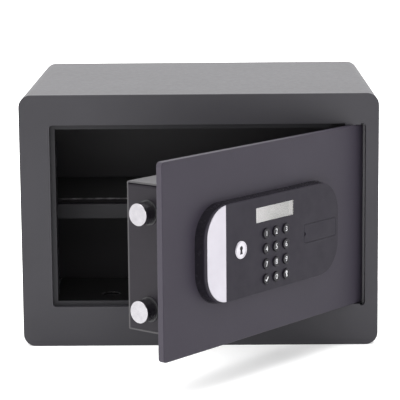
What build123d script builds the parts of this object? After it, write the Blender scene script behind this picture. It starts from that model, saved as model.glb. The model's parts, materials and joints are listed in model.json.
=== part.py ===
from build123d import *
import math
import os

# In-room safe. Millimetres, +Z up, +Y towards the back of the cabinet, +X towards the hinge side.
# The origin is the centre of the four floor anchor holes, on the underside of the cabinet.
# Depths ("d") are measured backwards from the cabinet's front face. Every door piece is drawn
# with the door closed, and the whole door is then turned about its pivot to its rest angle.

# ---- driving dimensions: cabinet ----
WIDTH = 350.0
HEIGHT = 250.0
DEPTH = 300.0
CORNER_R = 12.0
SHEET = 3.0
FRAME_T = 6.0
EDGE_R = 0.6

OPEN_LEFT = -145.5
OPEN_RIGHT = 162.3
OPEN_LOW = 39.5
OPEN_HIGH = 220.5
OPEN_R = 3.5

STOP_T = 3.0
STOP_LIP = 4.8
STOP_WELD = 10.5
STOP_SEAT = 0.3
STOP_END = 128.0
KEEPER_SHEET = 2.5
KEEPER_Z = (48.0, 202.0)
CHANNEL_T = 2.0
CHANNEL_BACK = 42.0
CHANNEL_STEP_X = 160.2
CHANNEL_STEP_D = 13.4

ANCHOR_R = 5.0
ANCHOR_DX = 200.0
ANCHOR_DY = 120.0
WALL_HOLE_DX = 150.0
WALL_HOLE_Z = 195.0

SHELF_FRONT = 150.0
SHELF_TOP = 117.0
SHELF_T = 2.0
SHELF_LIP = 16.0
SHELF_MAT_T = 5.5
FLOOR_MAT_T = 3.0
FLOOR_MAT_START = 14.0
BRACKET_REACH = 15.0
BRACKET_DROP = 14.0
BRACKET_T = 2.0

# ---- driving dimensions: door and hinge ----
DOOR_ANGLE = 51.4
DOOR_T = 6.0
DOOR_LEFT = -144.0
DOOR_RIGHT = 160.5
DOOR_LOW = 41.4
DOOR_HIGH = 218.6
DOOR_R = 4.0
PIVOT_X = 150.0
PIVOT_D = 5.0
PIN_R = 3.0
PIN_CLEARANCE = 0.05
PIN_IN_DOOR = 20.0
PIN_IN_BLOCK = 13.0
BORE_DEPTH = 14.0
BLOCK_HALF_W = 7.5
BLOCK_DEPTH = 12.0
BLOCK_H = 17.0
BLOCK_GAP = 0.5

# ---- driving dimensions: lock case and bolts ----
CASE_LEFT = -122.0
CASE_RIGHT = 88.0
CASE_LOW = 60.0
CASE_HIGH = 194.5
CASE_BACK = 59.0
CASE_SHEET = 1.5
CASE_FLANGE = 14.0
BEND_R = 3.0
SMALL_BEND_R = 0.6
CASE_SCREW_R = 2.0

BOLT_R = 10.0
BOLT_D = 35.0
BOLT_Z = (81.1, 168.3)
BOLT_TIP = -136.0
BOLT_ROOT = -95.0
BOLT_CHAMFER = 0.3
TENON_R = 6.0
BUSH_FIT = 0.06
BUSH_WALL = 1.3
CARRIAGE_T = 4.0
CARRIAGE_HALF = 13.0

# ---- driving dimensions: rack and pinion ----
MODULE = 1.0
PINION_TEETH = 18
PRESSURE = math.radians(20)
TOOTH_THIN = 0.12
ADDENDUM = 0.95
DEDENDUM = 1.25
PINION_X = -50.0
PITCH_LINE_Z = 122.0
RACK_D = (22.0, 29.0)
SHAFT_R = 2.0
GEARBOX_R = 12.0
GEARBOX_D = (31.0, 45.0)
MOTOR_R = 10.0
MOTOR_D = (44.5, 54.5)
BRACKET_PLATE_D = (29.6, 31.0)

# ---- driving dimensions: electronics, cells and reset button ----
BOARD_X = (-20.0, 60.0)
BOARD_Z = (66.0, 112.0)
BOARD_D = 12.0
BOARD_T = 1.6
SWITCH_H = 2.6

BATTERY_R = 7.1
BATTERY_L = 50.0
BATTERY_PITCH = 15.0
BATTERY_X = 7.5
BATTERY_Z = 157.0
BATTERY_D = 48.6
TRAY_T = 1.5
WINDOW_X = (-2.0, 63.0)
WINDOW_HALF_H = 25.5
COVER_SLIDE = 8.0

RESET_X = 30.0
RESET_Z = 89.0
RESET_R = 3.0
RESET_TRAVEL = 1.5

# ---- driving dimensions: keypad fascia ----
FASCIA_X = 3.15
FASCIA_Z = 127.75
FASCIA_W = 203.7
FASCIA_H = 88.9
FASCIA_R = 30.0
FASCIA_PROUD = 9.5
FACE_T = 1.2
SKIN_T = 1.5
WALL_T = 2.4
FLARE = 1.4
FACE_FRONT = -FASCIA_PROUD
SKIN_FRONT = FACE_FRONT + FACE_T
SKIN_BACK = SKIN_FRONT + SKIN_T
FASCIA_SCREW_X = (-63.0, 80.0)
FASCIA_SCREW_Z = (99.0, 157.0)
FASCIA_SCREW_R = 1.25

KEY_X = 5.4
KEY_Z = 116.1
KEY_PITCH_X = 15.0
KEY_PITCH_Z = 14.2
KEY_R = 4.7
KEY_HOLE_R = 5.05
KEY_PROUD = 1.5
KEY_TRAVEL = 1.2
KEY_DISH_R = 24.0
KEY_DISH_DEPTH = 0.35
KEY_COLLAR_D = (SKIN_BACK + 0.3, SKIN_BACK + 1.1)
MAT_D = (SKIN_BACK + 3.1, SKIN_BACK + 4.1)
KEY_BOARD_D = (MAT_D[1], MAT_D[1] + 1.4)
CABLE_Z = 100.0
CABLE_HOLE_R = 8.0
KEY_NAMES = (
    ("key_enter", "key_0", "key_lock"),
    ("key_7", "key_8", "key_9"),
    ("key_4", "key_5", "key_6"),
    ("key_1", "key_2", "key_3"),
)

LCD_X = 4.7
LCD_Z = 155.5
LCD_W = 56.9
LCD_H = 14.0
LENS_D = (FACE_FRONT + 0.3, FACE_FRONT + 1.1)

TRIM_RIGHT = -68.0
TRIM_MARGIN = 4.2
BADGE_X = -46.7
BADGE_Z = 128.0
BADGE_R = 8.25

COVER_X = 75.0
COVER_Z = 127.3
COVER_W = 50.0
COVER_H = 17.5
COVER_GAP = 0.25
POCKET_D = -5.6
POCKET_WALL = 1.4
PLUG_R = 5.0
CYLINDER_R = 8.0
CYLINDER_END = 24.0
PLUG_END = 27.0
CAM_T = 2.0
CAM_REACH = 15.0
CAM_HALF_W = 4.0

FRONT_Y = -DEPTH / 2
INNER_X = WIDTH / 2 - SHEET


# ---- small helpers ----
def block(x0, x1, d0, d1, z0, z1):
    """Box between two corners; d is the depth behind the front face."""
    middle = ((x0 + x1) / 2, FRONT_Y + (d0 + d1) / 2, (z0 + z1) / 2)
    return Pos(*middle) * Box(x1 - x0, d1 - d0, z1 - z0)


def bar_y(x, z, radius, d0, d1):
    """Round bar along Y, from depth d0 to depth d1."""
    return Pos(x, FRONT_Y + (d0 + d1) / 2, z) * Rot(90, 0, 0) * Cylinder(radius, d1 - d0)


def bar_x(d, z, radius, x0, x1):
    """Round bar along X."""
    return Pos((x0 + x1) / 2, FRONT_Y + d, z) * Rot(0, 90, 0) * Cylinder(radius, x1 - x0)


def bar_z(x, d, radius, z0, z1):
    """Round bar along Z."""
    return Pos(x, FRONT_Y + d, (z0 + z1) / 2) * Cylinder(radius, z1 - z0)


def wall_plane(d, x=0, z=0):
    """Drawing plane parallel to the front face: local x is X and local y is Z."""
    return Plane((x, FRONT_Y + d, z), x_dir=(1, 0, 0), z_dir=(0, -1, 0))


def panel(outline, x, z, d0, d1):
    """A flat outline centred on x, z and thickened from depth d0 to depth d1."""
    return extrude(wall_plane(d0, x, z) * outline, amount=d1 - d0, dir=(0, 1, 0))


def rounded(width, height, radius):
    return RectangleRounded(width, height, radius)


def joined(first, *others):
    """One solid from pieces that touch or overlap."""
    whole = first
    for other in others:
        whole = whole + other
    return whole


def drilled(solid, *tools):
    """The solid with each tool removed."""
    for tool in tools:
        solid = solid - tool
    return solid


def edges_at_depth(solid, d):
    """All edges lying in the plane at depth d."""
    return solid.edges().filter_by_position(Axis.Y, FRONT_Y + d - 0.01, FRONT_Y + d + 0.01)


def edges_at_x(solid, x):
    """All edges lying in the plane at x."""
    return solid.edges().filter_by_position(Axis.X, x - 0.01, x + 0.01)


def pan_screw(shank_r, head_r, length):
    """Cross-recess screw, shank along -Z from the origin, head above it."""
    head_h = head_r * 0.62
    head = Pos(0, 0, head_h / 2) * Cylinder(head_r, head_h)
    head = fillet(head.edges().filter_by_position(Axis.Z, head_h - 0.01, head_h + 0.01), head_h * 0.6)
    shank = Pos(0, 0, -length / 2) * Cylinder(shank_r, length)
    slot = Pos(0, 0, head_h) * Box(head_r * 1.15, head_r * 0.26, head_h * 0.9)
    cross = Rot(0, 0, 90) * slot
    return drilled(joined(head, shank), slot, cross)


def facing_back(x, d, z, piece):
    """Stand a piece drawn along +Z so that its +Z points to the back of the cabinet."""
    return Pos(x, FRONT_Y + d, z) * Rot(-90, 0, 0) * piece


# ---- cabinet ----
def cabinet_shell():
    outer = panel(rounded(WIDTH, HEIGHT, CORNER_R), 0, HEIGHT / 2, FRAME_T, DEPTH - SHEET)
    inside = rounded(WIDTH - 2 * SHEET, HEIGHT - 2 * SHEET, CORNER_R - SHEET)
    shell = outer - panel(inside, 0, HEIGHT / 2, FRAME_T - 1, DEPTH)
    for x in (-ANCHOR_DX / 2, ANCHOR_DX / 2):
        for y in (-ANCHOR_DY / 2, ANCHOR_DY / 2):
            shell = shell - Pos(x, y, 0) * Cylinder(ANCHOR_R, 4 * SHEET)
    return shell


def opening_prism(grow, d0, d1):
    """The door opening as a solid, enlarged by grow on each side."""
    width = OPEN_RIGHT - OPEN_LEFT + 2 * grow
    height = OPEN_HIGH - OPEN_LOW + 2 * grow
    middle_x = (OPEN_LEFT + OPEN_RIGHT) / 2
    middle_z = (OPEN_LOW + OPEN_HIGH) / 2
    return panel(rounded(width, height, OPEN_R + grow), middle_x, middle_z, d0, d1)


def hinge_block_solid(upper):
    """Square block let into the frame above or below the pivot, without its bore."""
    if upper:
        low = DOOR_HIGH + BLOCK_GAP
        high = low + BLOCK_H
    else:
        high = DOOR_LOW - BLOCK_GAP
        low = high - BLOCK_H
    return block(PIVOT_X - BLOCK_HALF_W, PIVOT_X + BLOCK_HALF_W, 0, BLOCK_DEPTH, low, high)


def front_frame():
    plate = panel(rounded(WIDTH, HEIGHT, CORNER_R), 0, HEIGHT / 2, 0, FRAME_T)
    plate = fillet(edges_at_depth(plate, 0), EDGE_R)
    plate = plate - opening_prism(0, -1, FRAME_T + 1)
    return drilled(plate, hinge_block_solid(True), hinge_block_solid(False))


def hinge_block(upper):
    """Pivot block with a blind running bore for the door's pin."""
    solid = hinge_block_solid(upper)
    if upper:
        start = DOOR_HIGH + BLOCK_GAP - 1
        end = DOOR_HIGH + BLOCK_GAP + BORE_DEPTH
    else:
        start = DOOR_LOW - BLOCK_GAP - BORE_DEPTH
        end = DOOR_LOW - BLOCK_GAP + 1
    return solid - bar_z(PIVOT_X, PIVOT_D, PIN_R + PIN_CLEARANCE, start, end)


def stop_frame():
    """Recessed flange on the left, top and bottom of the opening, cut away near the hinge."""
    left = block(OPEN_LEFT - STOP_WELD, OPEN_LEFT + STOP_LIP, FRAME_T, FRAME_T + STOP_T,
                 OPEN_LOW - STOP_WELD, OPEN_HIGH + STOP_WELD)
    top = block(OPEN_LEFT - STOP_WELD, STOP_END, FRAME_T, FRAME_T + STOP_T,
                OPEN_HIGH - STOP_LIP, OPEN_HIGH + STOP_WELD)
    low = block(OPEN_LEFT - STOP_WELD, STOP_END, FRAME_T, FRAME_T + STOP_T,
                OPEN_LOW - STOP_WELD, OPEN_LOW + STOP_LIP)
    return joined(left, top, low) - opening_prism(0.4, FRAME_T - 1, FRAME_T + STOP_SEAT)


def bolt_keeper():
    """Folded angle behind the left flange; the thrown bolts stand just behind its leg."""
    inner = OPEN_LEFT + STOP_LIP
    start = FRAME_T + STOP_T
    leg_end = BOLT_D - BOLT_R - 0.5
    flange = block(OPEN_LEFT - STOP_WELD, inner, start, start + KEEPER_SHEET, *KEEPER_Z)
    leg = block(inner - KEEPER_SHEET, inner, start, leg_end, *KEEPER_Z)
    return joined(flange, leg)


def hinge_channel():
    """Return wall along the hinge side of the opening, with a step that closes the hinge gap."""
    low = CORNER_R
    high = HEIGHT - CORNER_R
    wall = block(OPEN_RIGHT, OPEN_RIGHT + CHANNEL_T, FRAME_T, CHANNEL_BACK, low, high)
    step_back = CHANNEL_STEP_D + CHANNEL_T
    step = block(CHANNEL_STEP_X, OPEN_RIGHT, CHANNEL_STEP_D, step_back, low, high)
    return joined(wall, step)


def rear_panel():
    plate = panel(rounded(WIDTH, HEIGHT, CORNER_R), 0, HEIGHT / 2, DEPTH - SHEET, DEPTH)
    plate = fillet(edges_at_depth(plate, DEPTH), EDGE_R)
    for x in (-WALL_HOLE_DX / 2, WALL_HOLE_DX / 2):
        plate = plate - bar_y(x, WALL_HOLE_Z, ANCHOR_R, DEPTH - 2 * SHEET, DEPTH + SHEET)
    return plate


def floor_mat():
    width = 2 * (INNER_X - CORNER_R + SHEET) - 2
    depth = DEPTH - SHEET - 2 - FLOOR_MAT_START
    middle_y = FRONT_Y + FLOOR_MAT_START + depth / 2
    mat = Pos(0, middle_y, SHEET) * extrude(rounded(width, depth, 6), FLOOR_MAT_T)
    for x in (-ANCHOR_DX / 2, ANCHOR_DX / 2):
        for y in (-ANCHOR_DY / 2, ANCHOR_DY / 2):
            mat = mat - Pos(x, y, SHEET) * Cylinder(ANCHOR_R + 4, 4 * FLOOR_MAT_T)
    return mat


def shelf():
    half = INNER_X - 1
    back = DEPTH - SHEET - 1
    deck = block(-half, half, SHELF_FRONT, back, SHELF_TOP - SHELF_T, SHELF_TOP)
    lip = block(-half, half, SHELF_FRONT, SHELF_FRONT + SHELF_T, SHELF_TOP - SHELF_LIP, SHELF_TOP)
    tray = joined(deck, lip)
    bend = tray.edges().filter_by(Axis.X).filter_by_position(Axis.Z, SHELF_TOP - 0.01, SHELF_TOP + 0.01)
    return fillet(bend.sort_by(Axis.Y)[0], SHELF_T * 0.9)


def shelf_mat():
    half = INNER_X - 3
    top = SHELF_TOP + SHELF_MAT_T
    board = block(-half, half, SHELF_FRONT + 2, DEPTH - SHEET - 3, SHELF_TOP, top)
    front = board.edges().filter_by(Axis.X).sort_by(Axis.Y)[:2].sort_by(Axis.Z)[-1]
    return fillet(front, 1.5)


def shelf_bracket(side):
    """Angle on the cabinet's side wall; side is -1 for the left and +1 for the right."""
    top = SHELF_TOP - SHELF_T
    start = SHELF_FRONT + 8
    end = DEPTH - SHEET - 10
    wall = block(INNER_X - BRACKET_T, INNER_X, start, end, top - BRACKET_DROP, top)
    ledge = block(INNER_X - BRACKET_REACH, INNER_X, start, end, top - BRACKET_T, top)
    angle = joined(wall, ledge)
    return angle if side > 0 else mirror(angle, about=Plane.YZ)


# ---- door leaf and hinge ----
def override_bore(d0, d1, extra=0.3):
    return bar_y(COVER_X, COVER_Z, CYLINDER_R + extra, d0, d1)


def cable_hole(d0, d1):
    return bar_y(KEY_X, CABLE_Z, CABLE_HOLE_R, d0, d1)


def fascia_screw_places():
    """Centres of the four screws that hold the fascia, as (x, z)."""
    return [(x, z) for x in FASCIA_SCREW_X for z in FASCIA_SCREW_Z]


def pin_bar(upper):
    """The pressed-in hinge pin, half in the door and half in the hinge block."""
    if upper:
        low = DOOR_HIGH - PIN_IN_DOOR
        high = DOOR_HIGH + BLOCK_GAP + PIN_IN_BLOCK
    else:
        low = DOOR_LOW - BLOCK_GAP - PIN_IN_BLOCK
        high = DOOR_LOW + PIN_IN_DOOR
    return bar_z(PIVOT_X, PIVOT_D, PIN_R, low, high)


def hinge_pin(upper):
    pin = pin_bar(upper)
    return chamfer(pin.edges(), 0.5)


def door_plate():
    width = DOOR_RIGHT - DOOR_LEFT
    height = DOOR_HIGH - DOOR_LOW
    middle_x = (DOOR_LEFT + DOOR_RIGHT) / 2
    middle_z = (DOOR_LOW + DOOR_HIGH) / 2
    plate = panel(rounded(width, height, DOOR_R), middle_x, middle_z, 0, DOOR_T)
    plate = fillet(edges_at_depth(plate, 0), 0.9)
    plate = drilled(plate, pin_bar(True), pin_bar(False))
    plate = drilled(plate, override_bore(-1, DOOR_T + 1), cable_hole(-1, DOOR_T + 1))
    for x, z in fascia_screw_places():
        plate = plate - bar_y(x, z, 1.8, -1, DOOR_T + 1)
    return plate


def hinge_bar():
    stiffener = block(PIVOT_X - 14, DOOR_RIGHT, DOOR_T, 2 * DOOR_T, DOOR_LOW + 2.6, DOOR_HIGH - 2.6)
    return drilled(stiffener, pin_bar(True), pin_bar(False))


# ---- lock case ----
def end_wall(at_left):
    """Folded end of the chassis pan: a wide bend onto the top flange, tight ones elsewhere."""
    low = CASE_LOW + CASE_SHEET
    high = CASE_HIGH - CASE_SHEET
    back = CASE_BACK - CASE_SHEET
    outer = block(CASE_LEFT, CASE_LEFT + CASE_FLANGE, DOOR_T, back, low, high)
    low_edge = edges_at_x(outer, CASE_LEFT).sort_by(Axis.Z)[0]
    outer = fillet(low_edge, SMALL_BEND_R)
    outer = fillet(edges_at_x(outer, CASE_LEFT).sort_by(Axis.Z)[-1], BEND_R)
    inner_x = CASE_LEFT + CASE_SHEET
    hollow = block(inner_x, CASE_LEFT + CASE_FLANGE + 1, DOOR_T + CASE_SHEET,
                   back - CASE_SHEET, low + CASE_SHEET, high - CASE_SHEET)
    hollow = fillet(edges_at_x(hollow, inner_x).sort_by(Axis.Z)[-1], BEND_R - CASE_SHEET)
    end = outer - hollow
    if at_left:
        return end
    middle = (CASE_LEFT + CASE_RIGHT) / 2
    return mirror(end, about=Plane((middle, 0, 0), z_dir=(1, 0, 0)))


def lock_chassis():
    base = block(CASE_LEFT + 1, CASE_RIGHT - 1, DOOR_T, DOOR_T + CASE_SHEET,
                 CASE_LOW + CASE_SHEET, CASE_HIGH - CASE_SHEET)
    pan = joined(end_wall(True), end_wall(False), base)
    for z in BOLT_Z:
        pan = pan - bar_x(BOLT_D, z, BOLT_R + BUSH_WALL, CASE_LEFT - 2, CASE_LEFT + 6)
    for x, z in board_posts():
        pan = pan + bar_y(x, z, 3, DOOR_T + 0.5, 12)
    pan = drilled(pan, override_bore(DOOR_T - 1, DOOR_T + 3, 4.0), cable_hole(DOOR_T - 1, DOOR_T + 3))
    for x, z in fascia_screw_places():
        pan = pan - bar_y(x, z, 4.2, DOOR_T - 1, DOOR_T + 3)
    for x, z in case_screw_places():
        pan = pan - bar_y(x, z, CASE_SCREW_R, CASE_BACK - 8, CASE_BACK)
    return pan


def case_screw_places():
    """Centres of the lock case's screws, as (x, z)."""
    return [(x, z) for x in (CASE_LEFT + 8, CASE_RIGHT - 8) for z in (CASE_LOW + 10, CASE_HIGH - 10)]


def battery_window():
    """Opening in the back of the case that the battery cover closes, as x0, x1, z0, z1."""
    return (*WINDOW_X, BATTERY_Z - WINDOW_HALF_H, BATTERY_Z + WINDOW_HALF_H)


def case_cover():
    """U-shaped sheet over the top, back and bottom of the lock case."""
    top = block(CASE_LEFT, CASE_RIGHT, DOOR_T + CASE_SHEET, CASE_BACK, CASE_HIGH - CASE_SHEET, CASE_HIGH)
    back = block(CASE_LEFT, CASE_RIGHT, CASE_BACK - CASE_SHEET, CASE_BACK, CASE_LOW, CASE_HIGH)
    low = block(CASE_LEFT, CASE_RIGHT, DOOR_T + CASE_SHEET, CASE_BACK, CASE_LOW, CASE_LOW + CASE_SHEET)
    sheet = joined(top, back, low)
    bends = sheet.edges().filter_by(Axis.X)
    bends = bends.filter_by_position(Axis.Y, FRONT_Y + CASE_BACK - 0.01, FRONT_Y + CASE_BACK + 0.01)
    sheet = fillet(bends, CASE_SHEET * 0.95)
    x0, x1, z0, z1 = battery_window()
    sheet = sheet - block(x0, x1, CASE_BACK - 4, CASE_BACK + 2, z0, z1)
    sheet = sheet - bar_y(RESET_X, RESET_Z, RESET_R + 0.35, CASE_BACK - 4, CASE_BACK + 2)
    for x, z in case_screw_places():
        sheet = sheet - bar_y(x, z, CASE_SCREW_R + 0.2, CASE_BACK - 4, CASE_BACK + 2)
    return sheet


def case_screws():
    screw = pan_screw(CASE_SCREW_R, 3.6, 8)
    return [facing_back(x, CASE_BACK, z, screw) for x, z in case_screw_places()]


# ---- bolts, carriage and drive ----
def bolt(z):
    """Round bolt with a chamfered tip and a tenon that is riveted into the carriage."""
    shaft = bar_x(BOLT_D, z, BOLT_R, BOLT_TIP, BOLT_ROOT)
    tip = shaft.edges().filter_by_position(Axis.X, BOLT_TIP - 0.01, BOLT_TIP + 0.01)
    shaft = chamfer(tip, BOLT_CHAMFER)
    return joined(shaft, bar_x(BOLT_D, z, TENON_R, BOLT_ROOT, BOLT_ROOT + CARRIAGE_T))


def bolt_bushes():
    """One guide ring for each bolt, flanged inside the chassis wall."""
    rings = []
    for z in BOLT_Z:
        sleeve = bar_x(BOLT_D, z, BOLT_R + BUSH_WALL, CASE_LEFT - 0.8, CASE_LEFT + 10)
        flange = bar_x(BOLT_D, z, BOLT_R + 4, CASE_LEFT + CASE_SHEET, CASE_LEFT + 4)
        hole = bar_x(BOLT_D, z, BOLT_R + BUSH_FIT, CASE_LEFT - 5, CASE_LEFT + 15)
        rings.append(joined(sleeve, flange) - hole)
    return rings


def rack_teeth():
    """Straight teeth below the rack bar, with a space over the pinion's centre line."""
    pitch = math.pi * MODULE
    half = pitch / 4 - TOOTH_THIN / 2
    root = half + DEDENDUM * math.tan(PRESSURE)
    tip = half - ADDENDUM * math.tan(PRESSURE)
    teeth = None
    for k in range(-3, 9):
        x = PINION_X + (k + 0.5) * pitch
        outline = Polyline((x - root, PITCH_LINE_Z + DEDENDUM + 0.2), (x - root, PITCH_LINE_Z + DEDENDUM),
                           (x - tip, PITCH_LINE_Z - ADDENDUM), (x + tip, PITCH_LINE_Z - ADDENDUM),
                           (x + root, PITCH_LINE_Z + DEDENDUM),
                           (x + root, PITCH_LINE_Z + DEDENDUM + 0.2), close=True)
        tooth = panel(make_face(outline), 0, 0, RACK_D[0], RACK_D[1])
        teeth = tooth if teeth is None else teeth + tooth
    return teeth


def bolt_carriage():
    """Cross bar that ties the bolts together, with the rack arm that the pinion drives."""
    x0 = BOLT_ROOT
    x1 = BOLT_ROOT + CARRIAGE_T
    bar = block(x0, x1, BOLT_D - CARRIAGE_HALF, BOLT_D + CARRIAGE_HALF,
                BOLT_Z[0] - CARRIAGE_HALF, BOLT_Z[1] + CARRIAGE_HALF)
    arm = block(x1 - 1, PINION_X + 29, RACK_D[0], RACK_D[1], PITCH_LINE_Z + DEDENDUM, PITCH_LINE_Z + 9)
    body = joined(bar, arm, rack_teeth())
    for z in BOLT_Z:
        body = body - bar_x(BOLT_D, z, TENON_R, x0 - 1, x1 + 1)
    return body


def involute_tooth(pitch_r, outer_r, root_r):
    """Outline of one gear tooth pointing along local +y, as points from flank to flank."""
    base_r = pitch_r * math.cos(PRESSURE)
    half_pitch_angle = (math.pi * MODULE / 2 - TOOTH_THIN) / (2 * pitch_r)
    roll_at_pitch = math.tan(PRESSURE) - PRESSURE
    steps = 8
    flank = []
    for i in range(steps + 1):
        radius = max(base_r, root_r) + (outer_r - max(base_r, root_r)) * i / steps
        angle = math.acos(min(1.0, base_r / radius))
        spread = half_pitch_angle + roll_at_pitch - (math.tan(angle) - angle)
        flank.append((radius * math.sin(spread), radius * math.cos(spread)))
    foot = (root_r - 0.6) / max(base_r, root_r)
    start = (flank[0][0] * foot, flank[0][1] * foot)
    right = [start] + flank
    left = [(-x, y) for x, y in reversed(right)]
    return right + left


def drive_pinion():
    """Spur pinion with its output shaft, turning about Y at the pitch radius below the rack."""
    pitch_r = MODULE * PINION_TEETH / 2
    root_r = pitch_r - DEDENDUM * MODULE
    center_z = PITCH_LINE_Z - pitch_r
    tooth = make_face(Polyline(*involute_tooth(pitch_r, pitch_r + ADDENDUM, root_r), close=True))
    outline = Circle(root_r)
    for k in range(PINION_TEETH):
        outline = outline + Rot(0, 0, 360 * k / PINION_TEETH) * tooth
    wheel = panel(outline, PINION_X, center_z, RACK_D[0] + 0.5, RACK_D[1] - 0.5)
    shaft = bar_y(PINION_X, center_z, SHAFT_R, RACK_D[0] - 2, RACK_D[1] + 6)
    return joined(wheel, shaft)


def motor_center():
    return PINION_X, PITCH_LINE_Z - MODULE * PINION_TEETH / 2


def gear_motor():
    """Reduction gearbox with the motor can behind it and two solder tags."""
    x, z = motor_center()
    flat = 7.7
    gearbox = bar_y(x, z, GEARBOX_R, *GEARBOX_D)
    can = bar_y(x, z, MOTOR_R, *MOTOR_D)
    can = can & block(x - MOTOR_R - 1, x + MOTOR_R + 1, *MOTOR_D, z - flat, z + flat)
    tags = [block(x + side - 1, x + side + 1, MOTOR_D[1] - 0.5, MOTOR_D[1] + 2, z - 0.3, z + 0.3)
            for side in (-4.5, 4.5)]
    body = joined(gearbox, can, *tags)
    return body - bar_y(x, z, SHAFT_R + 0.06, GEARBOX_D[0] - 1, RACK_D[1] + 7)


def motor_bracket():
    """Plate in front of the gearbox, on two legs that stand on the chassis."""
    x, z = motor_center()
    half = 16.0
    low = z - half
    plate = block(x - half, x + half, *BRACKET_PLATE_D, low, z + 14)
    legs = [block(x + side * (half + 1) - 1, x + side * (half + 1) + 1, DOOR_T + CASE_SHEET,
                  BRACKET_PLATE_D[1], low, z + 4) for side in (-1, 1)]
    frame = joined(plate, *legs)
    return frame - bar_y(x, z, SHAFT_R + 1.5, BRACKET_PLATE_D[0] - 1, BRACKET_PLATE_D[1] + 1)


# ---- electronics and power ----
def board_posts():
    """Centres of the chassis posts under the control board, as (x, z)."""
    return [(x, z) for x in (BOARD_X[0] + 4, BOARD_X[1] - 4) for z in (BOARD_Z[0] + 4, BOARD_Z[1] - 4)]


def control_board():
    """Circuit board with its main parts standing on it."""
    d = BOARD_D + BOARD_T
    board = block(BOARD_X[0], BOARD_X[1], BOARD_D, d, BOARD_Z[0], BOARD_Z[1])
    chip = block(-8, 6, d, d + 1.5, 80, 94)
    driver = block(40, 46, d, d + 2, 74, 82)
    capacitor = bar_y(50, 98, 4, d, d + 11)
    plug_socket = block(-4, 16, d, d + 6, 98, 104)
    switch = block(RESET_X - 3, RESET_X + 3, d, d + SWITCH_H, RESET_Z - 3, RESET_Z + 3)
    return joined(board, chip, driver, capacitor, plug_socket, switch)


def battery_tray():
    """Open box that holds four cells upright behind the case's battery window."""
    wall = TRAY_T + 0.2
    x0 = BATTERY_X - BATTERY_PITCH / 2 - wall
    x1 = BATTERY_X + 3.5 * BATTERY_PITCH + wall
    z0 = BATTERY_Z - BATTERY_L / 2 - 2
    z1 = BATTERY_Z + BATTERY_L / 2 + 2
    floor_d = BATTERY_D - BATTERY_R - 0.1
    tray = block(x0, x1, floor_d - TRAY_T, CASE_BACK - CASE_SHEET, z0, z1)
    hollow = block(x0 + TRAY_T, x1 - TRAY_T, floor_d, CASE_BACK, z0 + TRAY_T, z1 - TRAY_T)
    return tray - hollow


def battery(index):
    """One AA cell, standing on end, with its raised contact on alternating ends."""
    x = BATTERY_X + BATTERY_PITCH * index
    half = BATTERY_L / 2
    can = bar_z(x, BATTERY_D, BATTERY_R, BATTERY_Z - half, BATTERY_Z + half - 1.2)
    can = fillet(can.edges(), 0.6)
    cell = joined(can, bar_z(x, BATTERY_D, 2.7, BATTERY_Z + half - 1.3, BATTERY_Z + half))
    if index % 2:
        cell = mirror(cell, about=Plane((0, 0, BATTERY_Z)))
    return cell


def battery_cover():
    """Ribbed plastic cover on the back of the case, with a tongue inside the window."""
    x0, x1, z0, z1 = battery_window()
    back = CASE_BACK + 2.5
    plate = block(x0 - 4, x1 + 2, CASE_BACK + 0.3, back, z0 - 4, z1 + 4)
    plate = fillet(edges_at_depth(plate, back), 0.8)
    tongue = block(x0 + 0.5, x1 - COVER_SLIDE - 1, CASE_BACK - 1.2, CASE_BACK + 0.4, z0 + 0.6, z1 - 0.6)
    cover = joined(plate, tongue)
    for k in range(5):
        z = BATTERY_Z + 4 * (k - 2)
        cover = cover + block(x0 + 2, x0 + 14, back - 0.1, back + 0.6, z - 0.8, z + 0.8)
    return cover


def reset_button():
    """Small plunger through the back of the case, with a collar inside the sheet."""
    stem_front = BOARD_D + BOARD_T + SWITCH_H + RESET_TRAVEL + 0.4
    stem = bar_y(RESET_X, RESET_Z, 1.8, stem_front, CASE_BACK - 3)
    collar = bar_y(RESET_X, RESET_Z, RESET_R + 1.5, CASE_BACK - 3.4, CASE_BACK - CASE_SHEET - 0.35)
    cap = bar_y(RESET_X, RESET_Z, RESET_R, CASE_BACK - CASE_SHEET - 0.5, CASE_BACK + 2)
    cap = fillet(edges_at_depth(cap, CASE_BACK + 2), 0.6)
    return joined(stem, collar, cap)


def ribbon_cable():
    """Flat cable from the keypad board straight through the door to the control board."""
    return block(KEY_X - 6, KEY_X + 6, KEY_BOARD_D[1], BOARD_D, CABLE_Z - 0.6, CABLE_Z + 0.6)


# ---- emergency lock ----
def override_cylinder():
    """Threaded lock body through the door, with a flange against the door's back."""
    barrel = bar_y(COVER_X, COVER_Z, CYLINDER_R, POCKET_D, CYLINDER_END)
    flange = bar_y(COVER_X, COVER_Z, CYLINDER_R + 3.2, DOOR_T, DOOR_T + 2.5)
    bore = bar_y(COVER_X, COVER_Z, PLUG_R + 0.05, POCKET_D - 1, CYLINDER_END + 1)
    return joined(barrel, flange) - bore


def override_plug():
    """Turning plug with its key slot in front and a cam arm on its tail."""
    slot_end = 12.0
    plug = bar_y(COVER_X, COVER_Z, PLUG_R, POCKET_D, PLUG_END)
    keyway = block(COVER_X - 1, COVER_X + 1, POCKET_D - 1, slot_end, COVER_Z - 3.4, COVER_Z + 3.4)
    ward = block(COVER_X - 0.1, COVER_X + 1.8, POCKET_D - 1, slot_end, COVER_Z - 0.6, COVER_Z + 0.8)
    cam = block(COVER_X - CAM_REACH, COVER_X, PLUG_END - CAM_T, PLUG_END,
                COVER_Z - CAM_HALF_W, COVER_Z + CAM_HALF_W)
    cam = fillet(cam.edges().filter_by(Axis.Y).sort_by(Axis.X)[:2], CAM_HALF_W - 0.5)
    return joined(plug - keyway - ward, cam)


# ---- keypad fascia ----
def fascia_outline(shrink):
    """Rounded outline of the fascia, smaller by shrink on each side."""
    return rounded(FASCIA_W - 2 * shrink, FASCIA_H - 2 * shrink, FASCIA_R - shrink)


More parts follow.
